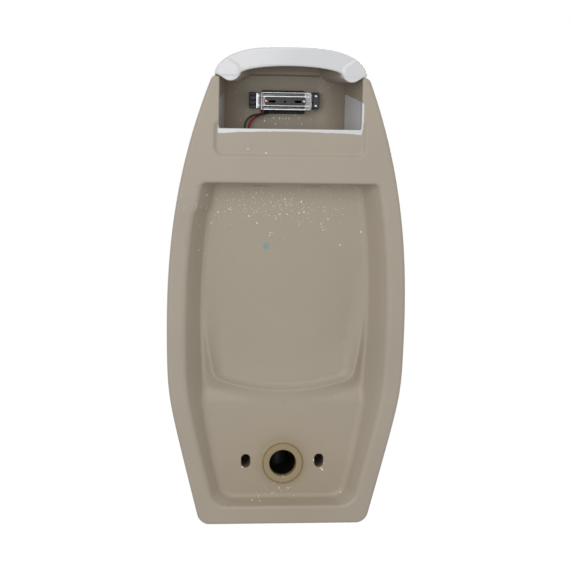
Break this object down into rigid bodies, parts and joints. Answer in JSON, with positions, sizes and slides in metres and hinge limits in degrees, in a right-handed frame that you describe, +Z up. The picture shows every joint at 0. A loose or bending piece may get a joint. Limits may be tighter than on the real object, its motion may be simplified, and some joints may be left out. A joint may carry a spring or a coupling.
{
  "type": "wall-hung urinal",
  "caption": "Wall-hung vitreous china urinal seen from behind, with lift-off cover, sensor flush valve in its chest, and rear outlet.",
  "frame": {"origin": "on the wall plane, on the centreline, at the height of the outlet axis", "axes": "+Z up, +Y out of the back towards the wall, -Y to the front of the bowl, +X to the left as seen from behind"},
  "size_m": [0.35, 0.33, 0.7042],
  "materials": {
    "china_body": "fired vitreous china, bare behind and white glazed in front",
    "white_china": "glossy white glaze",
    "black_rubber": "matte",
    "bright_chrome": "polished",
    "smoked_window": "polished smoked plastic",
    "black_plastic": "satin",
    "copper_screw": "copper plated",
    "green_board": "lacquered laminate",
    "dark_lamp": "clear dark resin",
    "cell_steel": "plated can",
    "grey_foam": "closed cell foam",
    "bright_steel": "bright plated sheet",
    "steel_screw": "zinc plated",
    "red_insulation": "soft sleeve",
    "black_insulation": "soft sleeve",
    "yellow_brass": "turned and tumbled",
    "grey_nylon": "moulded",
    "dull_steel": "ground",
    "coil_plastic": "moulded",
    "white_plastic": "moulded"
  },
  "bodies": {
    "china": {"ceramic_body": "china_body", "cover_pads": "black_rubber", "sensor_faceplate": "bright_chrome", "sensor_window": "smoked_window", "faceplate_gasket": "black_rubber", "sensor_housing": "black_plastic", "housing_screws": "copper_screw", "circuit_board": "green_board", "infrared_pair": "dark_lamp", "battery_pack": "cell_steel", "foam_pad": "grey_foam", "clamp_tray": "bright_steel", "end_pad": "black_plastic", "cable_clip": "black_plastic", "clip_screws": "steel_screw", "red_lead": "red_insulation", "black_lead": "black_insulation", "spud": "yellow_brass", "spud_washer": "black_rubber", "spud_nut": "yellow_brass", "spreader": "bright_chrome", "valve_body": "yellow_brass", "inlet_nipple": "yellow_brass", "inlet_filter": "steel_screw", "spindle_seal": "black_rubber", "diaphragm": "black_rubber", "bonnet": "grey_nylon", "bonnet_screws": "steel_screw", "guide_tube": "bright_steel", "plunger_spring": "bright_steel", "solenoid_coil": "coil_plastic", "coil_nut": "steel_screw"},
    "cover": {"top_cover": "white_china"},
    "valve_plunger": {"plunger": "dull_steel"},
    "stop": {"stop_spindle": "steel_screw"},
    "cartridge": {"drain_strainer": "bright_chrome", "trap_tube": "white_plastic", "trap_ring": "black_rubber"}
  },
  "joints": [
    {"name": "cover_lift", "type": "slide", "parent": "china", "child": "cover", "axis": [0, 0, 1], "range_m": [0, 0.06]},
    {"name": "cartridge_lift", "type": "slide", "parent": "china", "child": "cartridge", "axis": [0, 0, 1], "range_m": [0, 0.12]},
    {"name": "plunger_slide", "type": "slide", "parent": "china", "child": "valve_plunger", "axis": [0, 0, 1], "range_m": [0, 0.003], "deforming": ["plunger_spring"]},
    {"name": "stop_turn", "type": "hinge", "parent": "china", "child": "stop", "pos_m": [-0.033, -0.088, 0.45], "axis": [0, 0, 1], "range_deg": [0, 90]}
  ]
}
